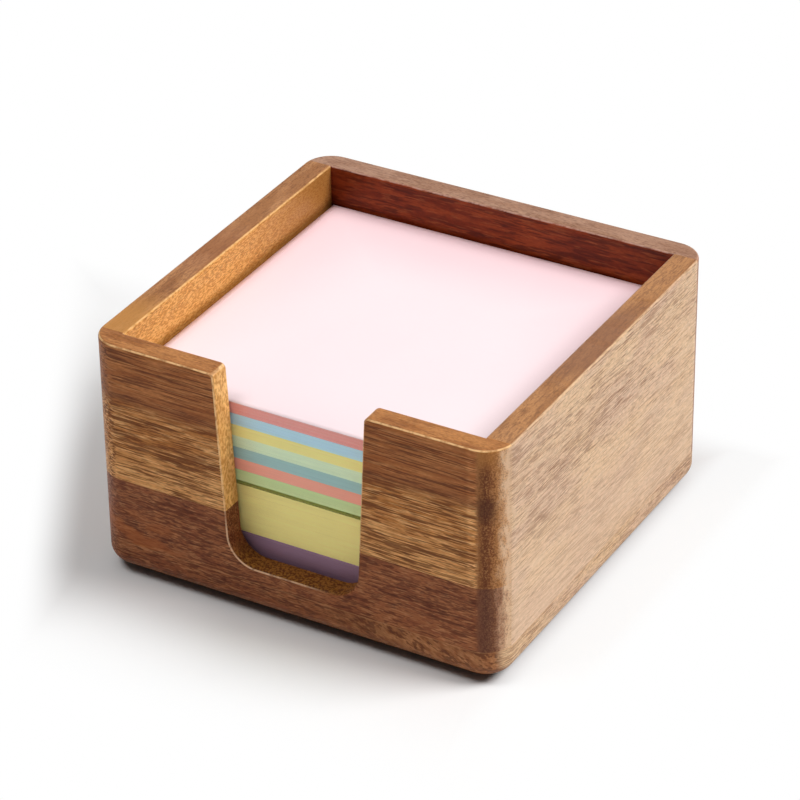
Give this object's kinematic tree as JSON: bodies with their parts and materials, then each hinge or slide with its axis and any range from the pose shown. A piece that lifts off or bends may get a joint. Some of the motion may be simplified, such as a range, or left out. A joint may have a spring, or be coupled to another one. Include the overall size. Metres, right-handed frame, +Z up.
{
  "type": "memo pad holder",
  "caption": "Open-topped wooden holder for square memo pads, with a finger notch through its front, non-slip feet and stacked coloured pads that lift out; the top note peels up.",
  "frame": {"origin": "on the desk under the middle of the box, at the lowest face of the feet", "axes": "+X to the right along the notched front, +Y from the notched front to the back, +Z up"},
  "size_m": [0.0888, 0.087, 0.0523],
  "materials": {
    "base_wood": "satin oiled hardwood, golden brown with dark figure",
    "dark_wood": "satin oiled hardwood, dark reddish brown",
    "striped_wood": "satin oiled hardwood, golden brown with dark streaks",
    "golden_wood": "satin oiled hardwood, golden brown",
    "pale_wood": "satin oiled hardwood, pale tan sapwood",
    "red_brown_wood": "satin oiled hardwood, dark reddish brown",
    "foot_rubber": "matt black",
    "purple_paper": "matt cut edges",
    "thick_yellow_paper": "matt cut edges",
    "green_paper": "matt cut edges",
    "salmon_paper": "matt cut edges",
    "teal_paper": "matt cut edges",
    "mint_paper": "matt cut edges",
    "yellow_paper": "matt cut edges",
    "blue_paper": "matt cut edges",
    "pink_paper": "matt cut edges",
    "note_paper": "matt, very pale pink"
  },
  "bodies": {
    "holder": {"base_panel": "base_wood", "front_lower_board": "dark_wood", "front_upper_left": "striped_wood", "front_upper_right": "striped_wood", "left_wall": "golden_wood", "right_wall": "pale_wood", "back_wall": "red_brown_wood", "front_left_foot": "foot_rubber", "front_right_foot": "foot_rubber", "back_left_foot": "foot_rubber", "back_right_foot": "foot_rubber"},
    "purple_pad": {"purple_pad": "purple_paper"},
    "yellow_pad": {"yellow_pad": "thick_yellow_paper"},
    "rainbow_pad": {"rainbow_green": "green_paper", "rainbow_salmon": "salmon_paper", "rainbow_teal": "teal_paper", "rainbow_mint": "mint_paper", "rainbow_yellow": "yellow_paper", "rainbow_blue": "blue_paper", "rainbow_pink": "pink_paper"},
    "top_note": {"top_note": "note_paper"}
  },
  "joints": [
    {"name": "purple_pad_lift", "type": "slide", "parent": "holder", "child": "purple_pad", "axis": [0, 0, 1], "range_m": [0, 0.05]},
    {"name": "yellow_pad_lift", "type": "slide", "parent": "purple_pad", "child": "yellow_pad", "axis": [0, 0, 1], "range_m": [0, 0.045]},
    {"name": "rainbow_pad_lift", "type": "slide", "parent": "yellow_pad", "child": "rainbow_pad", "axis": [0, 0, 1], "range_m": [0, 0.035]},
    {"name": "top_note_peel", "type": "hinge", "parent": "rainbow_pad", "child": "top_note", "pos_m": [0, 0.03794, 0.04362], "axis": [-1, 0, 0], "range_deg": [0, 85]}
  ]
}
